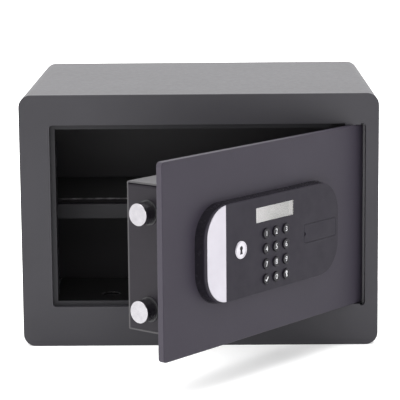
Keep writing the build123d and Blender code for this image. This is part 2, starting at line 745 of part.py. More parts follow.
def key_places():
    """Each key's name and centre, as (name, x, z)."""
    places = []
    for row, names in enumerate(KEY_NAMES):
        for column, name in enumerate(names):
            x = KEY_X + (column - 1) * KEY_PITCH_X
            z = KEY_Z + (row - 1.5) * KEY_PITCH_Z
            places.append((name, x, z))
    return places


def trim_outline(shrink):
    """D-shaped silver insert: the fascia's left end with a straight right edge."""
    reach = TRIM_RIGHT - (FASCIA_X - FASCIA_W / 2)
    end = Pos(TRIM_MARGIN / 2, 0) * rounded(FASCIA_W - TRIM_MARGIN - 2 * shrink,
                                            FASCIA_H - 1.2 - 2 * shrink, FASCIA_R - TRIM_MARGIN / 2)
    window = Pos(-FASCIA_W / 2 + reach / 2 - shrink / 2, 0) * Rectangle(reach - shrink, FASCIA_H)
    return end & window


def cover_outline(grow):
    return rounded(COVER_W + 2 * grow, COVER_H + 2 * grow, 1.5 + grow)


def cover_pocket(d0, d1):
    """The space that the emergency cover sits in."""
    return panel(cover_outline(COVER_GAP), COVER_X, COVER_Z, d0, d1)


def display_and_key_openings(d0, d1):
    """The display window and the key holes."""
    window = panel(Rectangle(LCD_W, LCD_H), LCD_X, LCD_Z, d0, d1)
    return [window] + [bar_y(x, z, KEY_HOLE_R, d0, d1) for name, x, z in key_places()]


def fascia_face():
    """Thin front overlay of the fascia."""
    face = panel(fascia_outline(0), FASCIA_X, FASCIA_Z, FACE_FRONT, SKIN_FRONT)
    face = fillet(edges_at_depth(face, FACE_FRONT), 0.6)
    start = FACE_FRONT - 1
    end = SKIN_FRONT + 1
    face = face - panel(trim_outline(-0.12), FASCIA_X, FASCIA_Z, start, end)
    return drilled(face, cover_pocket(start, end), *display_and_key_openings(start, end))


def fascia_housing():
    """Hollow moulding behind the overlay, flaring towards the door."""
    taper = math.degrees(math.atan(FLARE / -SKIN_FRONT))
    base = wall_plane(0, FASCIA_X, FASCIA_Z) * fascia_outline(-FLARE)
    shell = extrude(base, amount=-SKIN_FRONT, dir=(0, -1, 0), taper=taper)
    inner = wall_plane(0, FASCIA_X, FASCIA_Z) * fascia_outline(WALL_T - FLARE)
    shell = shell - extrude(inner, amount=-SKIN_BACK, dir=(0, -1, 0), taper=taper)
    pocket = panel(cover_outline(COVER_GAP + POCKET_WALL), COVER_X, COVER_Z,
                   SKIN_BACK - 0.5, POCKET_D + POCKET_WALL)
    shell = joined(shell, pocket)
    for x, z in fascia_screw_places():
        shell = shell + bar_y(x, z, 4, SKIN_BACK - 0.5, 0)
    shell = shell - cover_pocket(SKIN_FRONT - 1, POCKET_D)
    shell = shell - override_bore(POCKET_D - 1, POCKET_D + 3)
    for x, z in fascia_screw_places():
        shell = shell - bar_y(x, z, FASCIA_SCREW_R, SKIN_BACK + 1, 1)
    return drilled(shell, *display_and_key_openings(SKIN_FRONT - 1, SKIN_BACK + 0.2))


def fascia_trim():
    front = FACE_FRONT - 0.3
    plate = panel(trim_outline(0), FASCIA_X, FASCIA_Z, front, SKIN_FRONT)
    return fillet(edges_at_depth(plate, front), 0.4)


def badge():
    front = FACE_FRONT - 0.7
    disc = bar_y(BADGE_X, BADGE_Z, BADGE_R, front, FACE_FRONT)
    return fillet(edges_at_depth(disc, front), 0.5)


def display_lens():
    """Thin clear window, set just below the face of the overlay."""
    return panel(rounded(LCD_W - 0.3, LCD_H - 0.3, 0.3), LCD_X, LCD_Z, *LENS_D)


def lcd_module():
    """Display glass that fills the window behind the lens, with its carrier behind the skin."""
    glass = panel(rounded(LCD_W - 0.4, LCD_H - 0.4, 0.3), LCD_X, LCD_Z, LENS_D[1], SKIN_BACK + 0.1)
    carrier = panel(rounded(LCD_W + 5, LCD_H + 4.5, 1), LCD_X, LCD_Z, SKIN_BACK, SKIN_BACK + 3)
    foot = panel(rounded(LCD_W + 2, LCD_H, 1), LCD_X, LCD_Z, SKIN_BACK + 2.9, MAT_D[1])
    return joined(glass, carrier, foot)


def keypad_mat():
    width = 2 * KEY_PITCH_X + 15
    height = 3 * KEY_PITCH_Z + 14
    return panel(rounded(width, height, 3), KEY_X, KEY_Z, MAT_D[0], MAT_D[1])


def keypad_board():
    half = LCD_W / 2 + 2
    low = KEY_Z - 1.5 * KEY_PITCH_Z - 8
    high = LCD_Z + LCD_H / 2 + 2.5
    return block(LCD_X - half, LCD_X + half, *KEY_BOARD_D, low, high)


def key(x, z):
    """Round push button: a slightly dished cap, a retaining collar and a short plunger."""
    front = FACE_FRONT - KEY_PROUD
    cap = bar_y(x, z, KEY_R, front, KEY_COLLAR_D[0] + 0.1)
    cap = fillet(edges_at_depth(cap, front), 0.7)
    collar = bar_y(x, z, KEY_R + 0.9, *KEY_COLLAR_D)
    plunger = bar_y(x, z, 2.5, KEY_COLLAR_D[1], MAT_D[0] - KEY_TRAVEL - 0.4)
    dish = Pos(x, FRONT_Y + front - KEY_DISH_R + KEY_DISH_DEPTH, z) * Sphere(KEY_DISH_R)
    return joined(cap, collar, plunger) - dish


def fascia_screws():
    screw = pan_screw(FASCIA_SCREW_R, 2.8, 10)
    return [facing_back(x, DOOR_T, z, screw) for x, z in fascia_screw_places()]


def emergency_cover():
    """Plain snap-in plate in front of the key lock, with two short tongues behind."""
    plate = panel(cover_outline(0), COVER_X, COVER_Z, FACE_FRONT, FACE_FRONT + 2)
    plate = fillet(edges_at_depth(plate, FACE_FRONT), 0.15)
    tongues = [block(x - 1.5, x + 1.5, FACE_FRONT + 1.9, POCKET_D - 0.4, COVER_Z - 5, COVER_Z + 5)
               for x in (COVER_X - 21, COVER_X + 21)]
    notch = bar_y(COVER_X - COVER_W / 2, COVER_Z, 2.2, FACE_FRONT - 1, FACE_FRONT + 0.8)
    return joined(plate, *tongues) - notch


# ---- assembly ----
def cabinet_nodes():
    return {
        "cabinet_shell": cabinet_shell(),
        "front_frame": front_frame(),
        "stop_frame": stop_frame(),
        "bolt_keeper": bolt_keeper(),
        "hinge_channel": hinge_channel(),
        "rear_panel": rear_panel(),
        "hinge_block_upper": hinge_block(True),
        "hinge_block_lower": hinge_block(False),
        "floor_mat": floor_mat(),
        "shelf": shelf(),
        "shelf_mat": shelf_mat(),
        "shelf_bracket_left": shelf_bracket(-1),
        "shelf_bracket_right": shelf_bracket(1),
    }


def door_nodes():
    nodes = {
        "door_plate": door_plate(),
        "hinge_bar": hinge_bar(),
        "hinge_pin_upper": hinge_pin(True),
        "hinge_pin_lower": hinge_pin(False),
        "lock_chassis": lock_chassis(),
        "case_cover": case_cover(),
        "case_screws": case_screws(),
        "bolt_bushes": bolt_bushes(),
        "bolt_upper": bolt(BOLT_Z[1]),
        "bolt_lower": bolt(BOLT_Z[0]),
        "bolt_carriage": bolt_carriage(),
        "drive_pinion": drive_pinion(),
        "gear_motor": gear_motor(),
        "motor_bracket": motor_bracket(),
        "control_board": control_board(),
        "battery_tray": battery_tray(),
        "battery_cover": battery_cover(),
        "reset_button": reset_button(),
        "ribbon_cable": ribbon_cable(),
        "override_cylinder": override_cylinder(),
        "override_plug": override_plug(),
        "fascia_housing": fascia_housing(),
        "fascia_face": fascia_face(),
        "fascia_trim": fascia_trim(),
        "badge": badge(),
        "display_lens": display_lens(),
        "lcd_module": lcd_module(),
        "keypad_mat": keypad_mat(),
        "keypad_board": keypad_board(),
        "fascia_screws": fascia_screws(),
        "emergency_cover": emergency_cover(),
    }
    for index in range(4):
        nodes[f"battery_{index + 1}"] = battery(index)
    for name, x, z in key_places():
        nodes[name] = key(x, z)
    return nodes


def as_solids(piece):
    """The separate solids of a piece or of a list of pieces."""
    pieces = piece if isinstance(piece, list) else [piece]
    solids = []
    for item in pieces:
        solids += list(item.solids())
    return solids


def write_node(name, piece):
    solids = as_solids(piece)
    shape = solids[0] if len(solids) == 1 else Compound(children=solids)
    export_step(shape, f"parts/{name}.step")


def main():
    os.makedirs("parts", exist_ok=True)
    pivot = Axis((PIVOT_X, FRONT_Y + PIVOT_D, 0), (0, 0, 1))
    for name, piece in cabinet_nodes().items():
        write_node(name, piece)
    for name, piece in door_nodes().items():
        turned = [solid.rotate(pivot, DOOR_ANGLE) for solid in as_solids(piece)]
        write_node(name, turned)


main()
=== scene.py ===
import json
import math

import bmesh
import bpy
from mathutils import Matrix, Vector, noise


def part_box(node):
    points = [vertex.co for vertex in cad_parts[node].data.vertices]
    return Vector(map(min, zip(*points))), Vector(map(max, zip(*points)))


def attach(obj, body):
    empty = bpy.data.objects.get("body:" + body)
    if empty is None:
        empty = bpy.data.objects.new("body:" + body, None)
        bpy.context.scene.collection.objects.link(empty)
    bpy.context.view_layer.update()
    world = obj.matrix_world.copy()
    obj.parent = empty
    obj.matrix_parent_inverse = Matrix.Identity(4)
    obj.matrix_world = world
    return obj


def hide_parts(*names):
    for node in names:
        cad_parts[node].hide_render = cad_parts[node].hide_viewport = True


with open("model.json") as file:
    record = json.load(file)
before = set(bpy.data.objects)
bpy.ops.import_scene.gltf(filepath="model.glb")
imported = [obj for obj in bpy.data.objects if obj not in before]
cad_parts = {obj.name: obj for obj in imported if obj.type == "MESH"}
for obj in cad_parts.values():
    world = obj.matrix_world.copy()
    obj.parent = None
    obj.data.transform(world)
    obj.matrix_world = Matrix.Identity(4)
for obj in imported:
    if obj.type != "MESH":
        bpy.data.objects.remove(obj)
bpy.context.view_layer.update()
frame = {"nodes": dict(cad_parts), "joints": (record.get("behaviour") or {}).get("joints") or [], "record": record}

MM = 0.001
RECORD = frame["record"]
JOINTS = {joint["name"]: joint for joint in frame["joints"]}

# The door's own directions at rest: towards its free edge, and out of its front.
PIVOT = Vector(JOINTS["door_hinge"]["pos_m"])
TO_FREE_EDGE = Vector(JOINTS["bolt_throw"]["axis"]).normalized()
OUTWARD = Vector(JOINTS["emergency_cover_pull"]["axis"]).normalized()
DOOR_TURN = math.atan2(-TO_FREE_EDGE.y, -TO_FREE_EDGE.x)
DOOR = Matrix.Translation((PIVOT.x, PIVOT.y, 0)) @ Matrix.Rotation(DOOR_TURN, 4, "Z")

KEY_SYMBOLS = {"key_enter": "tick", "key_lock": "key"}
for digit in "0123456789":
    KEY_SYMBOLS["key_" + digit] = digit


# ---- places ----
def row_middle(node):
    """Middle of a node's box in the row's frame."""
    low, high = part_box(node)
    return (low + high) / 2


def door_box(node):
    """Lowest and highest corner of a node in door coordinates."""
    back = DOOR.inverted()
    points = [back @ vertex.co for vertex in frame["nodes"][node].data.vertices]
    low = Vector([min(point[i] for point in points) for i in range(3)])
    high = Vector([max(point[i] for point in points) for i in range(3)])
    return low, high


def row_x(x):
    """The row frame's X of a point on the door's front, from its door coordinate."""
    return (DOOR @ Vector((x, 0, 0))).x


# ---- materials ----
# Sockets of a Mix node that is set to colours.
MIX_FIRST, MIX_SECOND, MIX_RESULT = 6, 7, 2


class Finish:
    """One material: a Principled shader, and short calls for the textures that vary it."""

    def __init__(self, name, fixed=None):
        self.material = bpy.data.materials.new(name)
        self.material.use_nodes = True
        self.tree = self.material.node_tree
        self.shader = self.tree.nodes["Principled BSDF"]
        for socket, value in (fixed or {}).items():
            self.shader.inputs[socket].default_value = value

    def node(self, kind, settings=None, inputs=None):
        """A new shader node with its settings and inputs filled in."""
        made = self.tree.nodes.new("ShaderNode" + kind)
        for name, value in (settings or {}).items():
            setattr(made, name, value)
        for socket, value in (inputs or {}).items():
            self.put(made.inputs[socket], value)
        return made

    def put(self, socket, value):
        """A socket's fixed value, or a link from another node's output."""
        if isinstance(value, bpy.types.NodeSocket):
            self.tree.links.new(value, socket)
        else:
            socket.default_value = value

    def drive(self, socket, value):
        """Sets or links one of the shader's own sockets."""
        self.put(self.shader.inputs[socket], value)

    def place(self, turn=0.0, stretch=(1, 1, 1)):
        """The piece's own coordinates, turned back about Z and stretched."""
        source = self.node("TexCoord").outputs["Object"]
        shifted = self.node("Mapping", {"vector_type": "POINT"},
                            {"Vector": source, "Rotation": (0, 0, -turn)})
        scaled = self.node("Mapping", {"vector_type": "POINT"},
                           {"Vector": shifted.outputs["Vector"], "Scale": stretch})
        return scaled.outputs["Vector"]

    def noise(self, size, detail=2.0, rough=0.5, turn=0.0, stretch=(1, 1, 1)):
        """Cloudy value whose blotches are about size metres wide."""
        made = self.node("TexNoise", {"noise_dimensions": "3D"},
                         {"Vector": self.place(turn, stretch), "Scale": 1 / size,
                          "Detail": detail, "Roughness": rough})
        return made.outputs["Fac"]

    def span(self, value, low, high, start=0.35, end=0.65):
        """The value from start to end, spread over low to high."""
        made = self.node("MapRange", {"clamp": True},
                         {"Value": value, "From Min": start, "From Max": end,
                          "To Min": low, "To Max": high})
        return made.outputs["Result"]

    def shades(self, value, dark, light, start=0.35, end=0.65):
        """A colour from dark to light as the value goes from start to end."""
        ramp = self.node("ValToRGB", None, {"Fac": value})
        first, last = ramp.color_ramp.elements
        first.position, last.position = start, end
        first.color, last.color = (*dark, 1), (*light, 1)
        return ramp.outputs["Color"]

    def mix(self, share, first, second):
        """The first colour, with the second laid over it by that share."""
        made = self.node("Mix", {"data_type": "RGBA"})
        self.put(made.inputs["Factor"], share)
        self.put(made.inputs[MIX_FIRST], first)
        self.put(made.inputs[MIX_SECOND], second)
        return made.outputs[MIX_RESULT]

    def math(self, operation, first, second=0.0):
        made = self.node("Math", {"operation": operation})
        self.put(made.inputs[0], first)
        self.put(made.inputs[1], second)
        return made.outputs[0]

    def bump(self, height, depth, normal=None):
        """Relief of that depth in metres, laid over another relief if one is given."""
        made = self.node("Bump", None, {"Height": height, "Distance": depth, "Strength": 1.0})
        if normal is not None:
            self.put(made.inputs["Normal"], normal)
        return made.outputs["Normal"]

    def edges(self, radius, start=0.02, end=0.25):
        """1 on edges sharper than radius metres, 0 on flat ground."""
        soft = self.node("Bevel", {"samples": 4}, {"Radius": radius}).outputs["Normal"]
        hard = self.node("NewGeometry").outputs["Normal"]
        agree = self.node("VectorMath", {"operation": "DOT_PRODUCT"})
        self.put(agree.inputs[0], soft)
        self.put(agree.inputs[1], hard)
        return self.span(self.math("SUBTRACT", 1.0, agree.outputs["Value"]), 0.0, 1.0, start, end)


# Texture sizes and depths are in metres.
CLOUD_SIZE, CLOUD_SHARE = 0.09, 0.65
POWDER_GRAIN, POWDER_GRAIN_DEPTH = 0.0006, 0.000014
ORANGE_PEEL, ORANGE_PEEL_DEPTH = 0.0022, 0.00003
WORN_EDGE = 0.0007
WORN_FADE = 0.002
SATIN = (0.43, 0.47)


def powder_coat(name, dark, light, worn, gloss=0.27, wear=0.6, worn_up_to=None, lit_free_side=None):
    """Satin powder coat: orange peel, a fine grain, faint clouding, and paler edges.

    worn_up_to, where given, is the X beyond which the edges keep their paint.
    lit_free_side, where given, is a paler colour painted on the faces towards the free edge: a painted highlight
    for the light falling on the door's free side.
    gloss is the shader's specular level, and wear is how far the edges go to the worn colour.
    """
    finish = Finish(name, {"IOR": 1.5, "Specular IOR Level": gloss})
    cloud = finish.noise(CLOUD_SIZE, 3.0)
    grain = finish.noise(POWDER_GRAIN, 2.0, 0.6)
    clouded = finish.math("MULTIPLY", cloud, CLOUD_SHARE)
    tone = finish.math("ADD", clouded, finish.math("MULTIPLY", grain, 1 - CLOUD_SHARE))
    base = finish.shades(tone, dark, light)
    rubs = finish.span(finish.noise(0.012, 4.0), 0.1, wear)
    scuff = finish.math("MULTIPLY", finish.edges(WORN_EDGE), rubs)
    if worn_up_to is not None:
        across = finish.node("SeparateXYZ", None, {"Vector": finish.place()}).outputs["X"]
        kept = finish.span(across, 1.0, 0.0, worn_up_to, worn_up_to + WORN_FADE)
        scuff = finish.math("MULTIPLY", scuff, kept)
    if lit_free_side is not None:
        # Painted highlight: faces turned towards the free edge go towards the paler lit_free_side colour.
        facing = finish.node("VectorMath", {"operation": "DOT_PRODUCT"},
                             {0: finish.node("TexCoord").outputs["Normal"], 1: tuple(TO_FREE_EDGE)})
        share = finish.span(facing.outputs["Value"], 0.0, 1.0, 0.6, 0.95)
        base = finish.mix(share, base, (*lit_free_side, 1))
    finish.drive("Base Color", finish.mix(scuff, base, (*worn, 1)))
    finish.drive("Roughness", finish.span(finish.noise(0.004, 4.0, 0.6), *SATIN))
    wavy = finish.bump(finish.noise(ORANGE_PEEL, 1.0), ORANGE_PEEL_DEPTH)
    finish.drive("Normal", finish.bump(grain, POWDER_GRAIN_DEPTH, wavy))
    return finish.material


def moulded(name, dark, light, roughness, grain_depth=0.00001, grain=0.0005, specular=0.5):
    """Moulded plastic with a spark-eroded grain and faint handling marks."""
    finish = Finish(name, {"IOR": 1.49, "Specular IOR Level": specular})
    texture = finish.noise(grain, 2.0, 0.6)
    finish.drive("Base Color", finish.shades(finish.noise(0.02, 4.0), dark, light, 0.3, 0.7))
    finish.drive("Roughness", finish.span(finish.noise(0.009, 5.0, 0.65), *roughness))
    finish.drive("Normal", finish.bump(texture, grain_depth))
    return finish.material


def metal(name, dark, light, roughness, line=(0.0003, 0.02, 0.02), turn=0.0, depth=0.000004):
    """Bare or plated metal with fine drawn lines; line is the grain's size along x, y and z."""
    finish = Finish(name, {"Metallic": 1.0})
    size = min(line)
    stretch = tuple(size / length for length in line)
    lines = finish.noise(size, 3.0, 0.6, turn, stretch)
    finish.drive("Base Color", finish.shades(finish.noise(0.011, 4.0), dark, light))
    finish.drive("Roughness", finish.span(lines, *roughness))
    finish.drive("Normal", finish.bump(lines, depth))
    return finish.material


def turned_metal(name, dark, light, roughness, center, axis, ring=0.00035, depth=0.000004):
    """Metal faced in a lathe: rings about an axis through center, both in the row's frame."""
    finish = Finish(name, {"Metallic": 1.0})
    source = finish.node("TexCoord").outputs["Object"]
    offset = finish.node("VectorMath", {"operation": "SUBTRACT"}, {0: source, 1: tuple(center)})
    around = finish.node("VectorMath", {"operation": "CROSS_PRODUCT"},
                         {0: offset.outputs[0], 1: tuple(axis)})
    radius = finish.node("VectorMath", {"operation": "LENGTH"}, {0: around.outputs[0]}).outputs["Value"]
    wobble = finish.math("ADD", radius, finish.math("MULTIPLY", finish.noise(0.004, 2.0), 0.0004))
    rings = finish.math("SINE", finish.math("MULTIPLY", wobble, 2 * math.pi / ring))
    uneven = finish.math("MULTIPLY", rings, finish.noise(0.0012, 3.0))
    finish.drive("Base Color", finish.shades(finish.noise(0.005, 4.0), dark, light))
    finish.drive("Roughness", finish.span(uneven, *roughness, -0.5, 0.5))
    finish.drive("Normal", finish.bump(uneven, depth))
    return finish.material


FIBRE = 0.0005
FIBRE_STRETCH = (1, 0.12, 1)
CUT_EDGE = 0.0025


def felt(name, dark, light, edge_highlight, depth=0.0004):
    """Needle felt: crossing fibres, a soft sheen, and a painted highlight along its upper cut edges, ragged like
    fibres catching the light.
    """
    finish = Finish(name, {"Roughness": 0.95, "Sheen Weight": 0.06, "Sheen Roughness": 0.5,
                           "Specular IOR Level": 0.2})
    along = finish.noise(FIBRE, 3.0, 0.7, 0.5, FIBRE_STRETCH)
    across = finish.noise(FIBRE, 3.0, 0.7, 2.1, FIBRE_STRETCH)
    fibres = finish.math("MAXIMUM", along, across)
    body = finish.shades(fibres, dark, light, 0.4, 0.75)
    patches = finish.span(finish.noise(0.010, 4.0, 0.7), 0.15, 1.0, 0.4, 0.6)
    facing = finish.node("TexCoord").outputs["Normal"]
    rise = finish.node("SeparateXYZ", None, {"Vector": facing}).outputs["Z"]
    cut_edges = finish.edges(CUT_EDGE, 0.004, 0.06)
    # Painted highlight: upward-facing cut edges get a pale colour in ragged patches, standing for light caught on
    # the fibres.
    upper = finish.math("MULTIPLY", cut_edges, finish.span(rise, 0.0, 1.0, 0.05, 0.3))
    ragged_highlight = finish.math("MULTIPLY", upper, patches)
    finish.drive("Base Color", finish.mix(ragged_highlight, body, (*edge_highlight, 1)))
    finish.drive("Normal", finish.bump(fibres, depth))
    return finish.material


def circuit_board():
    """Solder resist over copper tracks, with pads."""
    finish = Finish("board_resist", {"IOR": 1.5})
    tracks = finish.node("TexBrick", {"offset": 0.5},
                         {"Vector": finish.place(DOOR_TURN), "Scale": 220.0,
                          "Mortar Size": 0.08, "Brick Width": 0.9, "Row Height": 0.35,
                          "Color1": (0.010, 0.085, 0.035, 1), "Color2": (0.012, 0.10, 0.04, 1),
                          "Mortar": (0.03, 0.19, 0.08, 1)})
    finish.drive("Base Color", tracks.outputs["Color"])
    finish.drive("Roughness", finish.span(finish.noise(0.004, 3.0), 0.28, 0.42))
    finish.drive("Normal", finish.bump(tracks.outputs["Fac"], 0.00003))
    return finish.material


CORE_PITCH = 0.004


def ribbon():
    """Flat cable: parallel cores under a grey jacket."""
    finish = Finish("cable_jacket", {"IOR": 1.45})
    place = finish.place(DOOR_TURN)
    cores = finish.node("TexWave", {"wave_type": "BANDS", "bands_direction": "X"},
                        {"Vector": place, "Scale": 1 / CORE_PITCH})
    finish.drive("Base Color", finish.shades(cores.outputs["Fac"], (0.30, 0.30, 0.31), (0.46, 0.46, 0.47)))
    finish.drive("Roughness", finish.span(finish.noise(0.003, 2.0), 0.4, 0.55))
    finish.drive("Normal", finish.bump(cores.outputs["Fac"], 0.0002))
    return finish.material


UPPER_BAND = 0.7


def battery_wrap():
    """Shrink sleeve in two plain bands, with no printing."""
    finish = Finish("battery_sleeve", {"IOR": 1.5})
    low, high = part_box("battery_1")
    parts = finish.node("SeparateXYZ", None, {"Vector": finish.place()})
    height = finish.span(parts.outputs["Z"], 0.0, 1.0, low.z, high.z)
    bands = finish.node("ValToRGB", None, {"Fac": height})
    bands.color_ramp.interpolation = "CONSTANT"
    lower, upper = bands.color_ramp.elements
    lower.color = (0.018, 0.019, 0.022, 1)
    upper.color = (0.36, 0.20, 0.08, 1)
    upper.position = UPPER_BAND
    faded = finish.span(finish.noise(0.006, 3.0), 0.0, 0.25)
    finish.drive("Base Color", finish.mix(faded, bands.outputs["Color"], (0.2, 0.2, 0.2, 1)))
    finish.drive("Roughness", finish.span(finish.noise(0.005, 3.0), 0.18, 0.32))
    return finish.material


def lcd_glass():
    """Reflective display: pale, with painted shade that darkens it towards its hinge end."""
    finish = Finish("lcd_glass", {"IOR": 1.5})
    low, high = door_box("lcd_module")
    parts = finish.node("SeparateXYZ", None, {"Vector": finish.place()})
    # Painted shade: the colour darkens along X towards the hinge end, with a faint random mottle added.
    across = finish.span(parts.outputs["X"], 0.0, 1.0, row_x(low.x), row_x(high.x))
    painted_shade_and_mottle = finish.math("ADD", across, finish.math("MULTIPLY", finish.noise(0.012, 2.0), 0.35))
    finish.drive("Base Color", finish.shades(painted_shade_and_mottle, (0.56, 0.54, 0.55), (0.27, 0.265, 0.257), 0.1, 1.1))
    finish.drive("Roughness", finish.span(finish.noise(0.0006, 2.0), 0.35, 0.5))
    finish.drive("Normal", finish.bump(finish.noise(0.0005, 1.0), 0.000004))
    return finish.material


def clear_window():
    """Clear acrylic with hair scratches."""
    finish = Finish("display_window", {"IOR": 1.49, "Transmission Weight": 1.0,
                                       "Base Color": (0.98, 0.975, 0.975, 1)})
    scratches = finish.noise(0.0004, 2.0, 0.6, DOOR_TURN + 0.6, (1, 0.03, 0.3))
    finish.drive("Roughness", finish.span(scratches, 0.02, 0.06, 0.55, 0.75))
    finish.drive("Normal", finish.bump(scratches, 0.000001))
    return finish.material


# ---- pieces ----
def add_piece(name, mesh, material, body):
    """A mesh in row coordinates as a piece that rides on a body."""
    for polygon in mesh.polygons:
        polygon.use_smooth = False
    piece = bpy.data.objects.new(name, mesh)
    bpy.context.scene.collection.objects.link(piece)
    mesh.materials.clear()
    mesh.materials.append(material)
    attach(piece, body)
    return piece


# ---- printed symbols ----
KEY_DISH_R = 24.0 * MM
KEY_DISH_DEPTH = 0.35 * MM
INK = 0.04 * MM
SYMBOL_HEIGHT = 4.7 * MM
# How far a character's strokes are thinned, as a share of the font's size.
STROKE_OFFSET = -0.006
STROKE_STEPS = 6
WELD = 0.001 * MM

# The drawn symbols, in millimetres about the key's middle.
TICK_STROKE = 0.95
TICK_LEFT, TICK_FOOT, TICK_TOP = (-1.9, 0.1), (-0.6, -1.7), (2.0, 2.1)
KEY_BOW_Y, KEY_BOW_IN, KEY_BOW_OUT = 1.45, 0.62, 1.45
KEY_STEM_HALF, KEY_STEM_LOW, KEY_STEM_HIGH = 0.42, -2.7, 0.12
KEY_TOOTH_REACH, KEY_TOOTH_HEIGHT = 1.35, 0.65
KEY_TEETH_Y = (-1.25, -2.4)


def digit_outline(text, height):
    """Flat faces of one character, centred, of that height."""
    curve = bpy.data.curves.new("glyph", "FONT")
    curve.body = text
    curve.size = 1.0
    curve.offset = STROKE_OFFSET
    curve.resolution_u = STROKE_STEPS
    writer = bpy.data.objects.new("glyph", curve)
    bpy.context.scene.collection.objects.link(writer)
    bpy.context.view_layer.update()
    mesh = bpy.data.meshes.new_from_object(writer)
    bpy.data.objects.remove(writer)
    xs = [vertex.co.x for vertex in mesh.vertices]
    ys = [vertex.co.y for vertex in mesh.vertices]
    scale = height / (max(ys) - min(ys))
    middle = Vector(((max(xs) + min(xs)) / 2, (max(ys) + min(ys)) / 2, 0))
    mesh.transform(Matrix.Scale(scale, 4) @ Matrix.Translation(-middle))
    return mesh


def flat_mesh(polygons):
    """Flat faces from lists of (x, y) points in millimetres."""
    shape = bmesh.new()
    for points in polygons:
        shape.faces.new([shape.verts.new((x * MM, y * MM, 0)) for x, y in points])
    bmesh.ops.remove_doubles(shape, verts=shape.verts, dist=WELD)
    mesh = bpy.data.meshes.new("glyph")
    shape.to_mesh(mesh)
    shape.free()
    return mesh


def arc_points(x, y, radius, count, start=0.0, sweep=2 * math.pi):
    """Points along an arc about (x, y), with both of its ends."""
    angles = [start + sweep * i / count for i in range(count + 1)]
    return [(x + radius * math.cos(angle), y + radius * math.sin(angle)) for angle in angles]


def ring_faces(x, y, inner, outer, count=28):
    """A flat ring about (x, y) as four-sided faces."""
    inside = arc_points(x, y, inner, count)
    outside = arc_points(x, y, outer, count)
    return [[inside[i], outside[i], outside[i + 1], inside[i + 1]] for i in range(count)]


def tick_outline():
    """A check mark drawn as two straight strokes."""
    faces = []
    for (x0, y0), (x1, y1) in ((TICK_LEFT, TICK_FOOT), (TICK_FOOT, TICK_TOP)):
        length = math.hypot(x1 - x0, y1 - y0)
        nx = -(y1 - y0) / length * TICK_STROKE / 2
        ny = (x1 - x0) / length * TICK_STROKE / 2
        faces.append([(x0 - nx, y0 - ny), (x1 - nx, y1 - ny), (x1 + nx, y1 + ny), (x0 + nx, y0 + ny)])
    return flat_mesh(faces)


def key_outline():
    """A plain key: a ring with a stem below it and two teeth."""
    half, reach = KEY_STEM_HALF, KEY_TOOTH_REACH
    faces = ring_faces(0, KEY_BOW_Y, KEY_BOW_IN, KEY_BOW_OUT)
    faces.append([(-half, KEY_STEM_LOW), (half, KEY_STEM_LOW), (half, KEY_STEM_HIGH), (-half, KEY_STEM_HIGH)])
    for y in KEY_TEETH_Y:
        faces.append([(half, y), (reach, y), (reach, y + KEY_TOOTH_HEIGHT), (half, y + KEY_TOOTH_HEIGHT)])
    return flat_mesh(faces)


def thickened(flat, depth_at, thickness):
    """The flat faces wrapped on a surface and given a thickness; depth_at gives the depth at x, y.

    It is put together from lists, so its points and faces come in the same order each time.
    """
    shape = bmesh.new()
    shape.from_mesh(flat)
    bmesh.ops.triangulate(shape, faces=shape.faces)
    count = len(shape.verts)
    points = [(vertex.co.x, depth_at(vertex.co.x, vertex.co.y) - rise, vertex.co.y)
              for rise in (thickness, -thickness / 2) for vertex in shape.verts]
    front = [[vertex.index for vertex in face.verts] for face in shape.faces]
    back = [[i + count for i in reversed(corners)] for corners in front]
    rims = [(loop.link_loop_next.vert.index, loop.vert.index)
            for face in shape.faces for loop in face.loops if loop.edge.is_boundary]
    walls = [(a, b, b + count, a + count) for a, b in rims]
    mesh = bpy.data.meshes.new("print")
    mesh.from_pydata(points, [], front + back + walls)
    shape.clear()
    shape.from_mesh(mesh)
    bmesh.ops.recalc_face_normals(shape, faces=shape.faces)
    shape.to_mesh(mesh)
    shape.free()
    return mesh


def key_print(node, symbol, material):
    """A key's symbol, lying on the key's dished face and riding on the key."""
    low, high = door_box(node)
    center = (low + high) / 2

    def dished(x, y):
        fall = KEY_DISH_R - math.sqrt(KEY_DISH_R ** 2 - x * x - y * y)
        return max(0.0, KEY_DISH_DEPTH - fall)

    if symbol == "tick":
        flat = tick_outline()
    elif symbol == "key":
        flat = key_outline()
    else:
        flat = digit_outline(symbol, SYMBOL_HEIGHT)
    mesh = thickened(flat, dished, INK)
    mesh.transform(DOOR @ Matrix.Translation((center.x, low.y, center.z)))
    add_piece("symbol_" + node, mesh, material, node)


def paint_nodes(material, *names):
    """Gives CAD nodes that material."""
    for name in names:
        slots = frame["nodes"][name].data.materials
        slots.clear()
        slots.append(material)


# ---- finishes of the CAD nodes ----
DARK_PAINT = (0.0240, 0.0228, 0.0272)
LIGHT_PAINT = (0.0302, 0.0288, 0.0342)
WORN_PAINT = (0.13, 0.13, 0.14)
# The front's worn edges end this far before the hinge blocks.
WORN_STOP = 4 * MM

cabinet_paint = powder_coat("cabinet_paint", DARK_PAINT, LIGHT_PAINT, WORN_PAINT)
frame_paint = powder_coat("frame_paint", DARK_PAINT, LIGHT_PAINT, WORN_PAINT, wear=0.4,
                          worn_up_to=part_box("hinge_block_upper")[0].x - WORN_STOP)
# Painted shade: the recessed stop frame and bolt keeper get a paint darker than the cabinet's, standing for the
# shade inside the opening.
recess_shade_paint = powder_coat("recess_shade_paint", (0.0125, 0.0120, 0.0145), (0.0155, 0.0150, 0.0180),
                          (0.08, 0.08, 0.085), gloss=0.2, wear=0.3)
